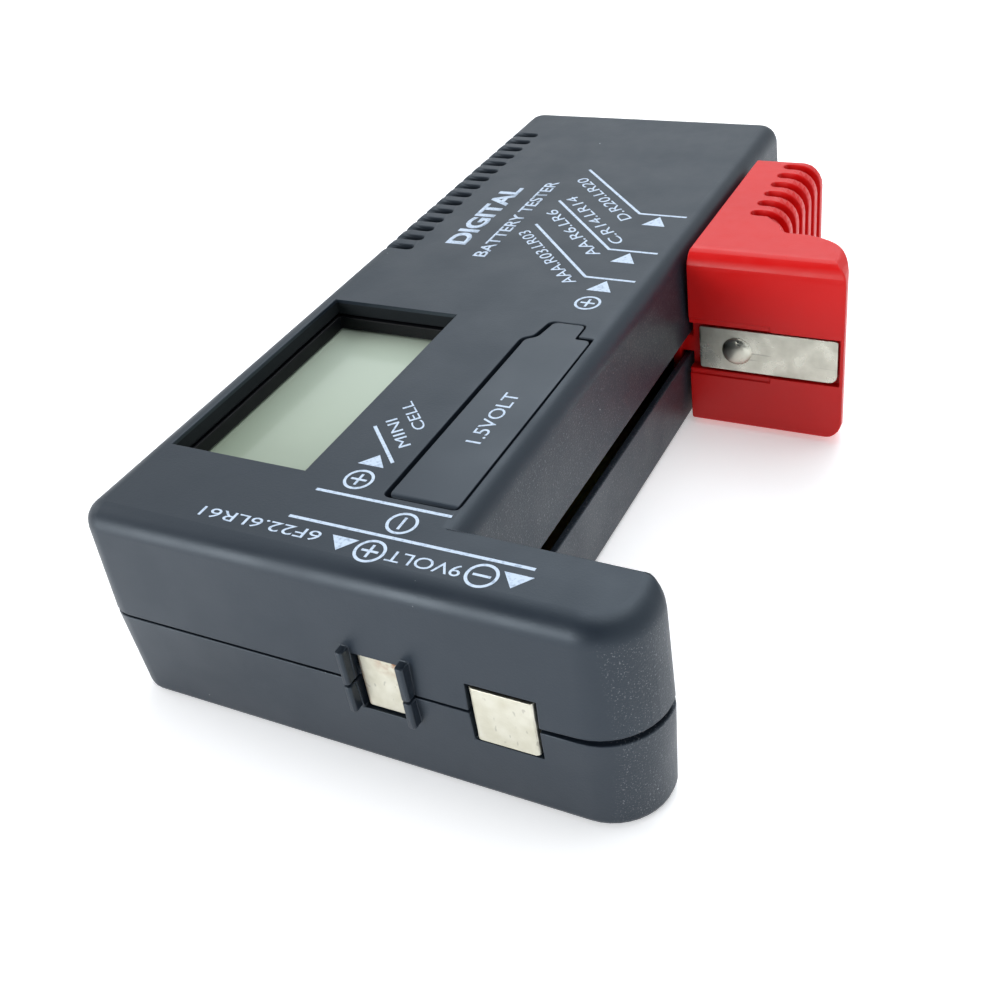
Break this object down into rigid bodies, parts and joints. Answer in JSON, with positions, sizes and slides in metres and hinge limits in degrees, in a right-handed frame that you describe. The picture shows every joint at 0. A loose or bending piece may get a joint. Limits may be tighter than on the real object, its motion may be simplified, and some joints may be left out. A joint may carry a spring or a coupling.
{
  "type": "battery tester",
  "caption": "Pocket battery tester with a display, 9 V contacts in its end, a fixed shelf contact and a sliding arm that clamps round cells, plus a hinged cell cover.",
  "frame": {"origin": "under the middle of the housing and its contact ribs, on the plane of the housing's back", "axes": "+Z out of the printed face, +Y along the length away from the 9 V contacts, +X towards the battery bay"},
  "size_m": [0.0588, 0.107, 0.0239],
  "materials": {
    "housing_plastic": "moulded ABS, fine spark texture",
    "cover_plastic": "moulded ABS, smoother satin",
    "arm_plastic": "moulded ABS, satin red",
    "nickel_contact": "nickel-plated spring steel",
    "tinned_contact": "tin-plated steel, lightly spotted",
    "brass": "rolled strip",
    "display_glass": "reflective liquid-crystal cell",
    "black_plastic": "moulded frame",
    "grey_rubber": "striped elastomer",
    "board": "solder-masked glass laminate",
    "black_resin": "cured resin",
    "resistor_body": "lacquered body",
    "blue_plastic": "sleeve and case",
    "cell_steel": "nickel-plated can",
    "wire_red": "PVC insulation",
    "wire_black": "PVC insulation",
    "screw_steel": "zinc plated"
  },
  "bodies": {
    "housing": {"upper_shell": "housing_plastic", "lower_shell": "housing_plastic", "display_frame": "black_plastic", "display_glass": "display_glass", "elastomer_connector": "grey_rubber", "circuit_board": "board", "controller_chip": "black_resin", "load_resistor_1": "resistor_body", "load_resistor_2": "resistor_body", "capacitor": "blue_plastic", "trimmer": "blue_plastic", "contact_9v_positive": "tinned_contact", "contact_9v_negative": "tinned_contact", "shelf_contact": "nickel_contact", "slide_rail": "brass", "supply_cell_1": "cell_steel", "supply_cell_2": "cell_steel", "cell_contact_negative": "nickel_contact", "cell_contact_positive": "nickel_contact", "lead_9v_positive": "wire_red", "lead_9v_negative": "wire_black", "lead_shelf_contact": "wire_black", "lead_slide_rail": "wire_red", "lead_cell_positive": "wire_red", "lead_cell_negative": "wire_black", "housing_screw_1": "screw_steel", "housing_screw_2": "screw_steel", "housing_screw_3": "screw_steel", "housing_screw_4": "screw_steel", "board_screw_1": "screw_steel", "board_screw_2": "screw_steel"},
    "arm": {"slide_arm": "arm_plastic", "arm_contact_strip": "nickel_contact", "wiper_spring": "brass", "wiper_rivet": "brass"},
    "cover": {"cell_cover": "cover_plastic"}
  },
  "joints": [
    {"name": "arm_slide", "type": "slide", "parent": "housing", "child": "arm", "axis": [0, 1, 0], "range_m": [-0.0535, 0.0115]},
    {"name": "cover_hinge", "type": "hinge", "parent": "housing", "child": "cover", "pos_m": [0.0039, -0.04035, 0.02335], "axis": [1, 0, 0], "range_deg": [0, 75]}
  ]
}
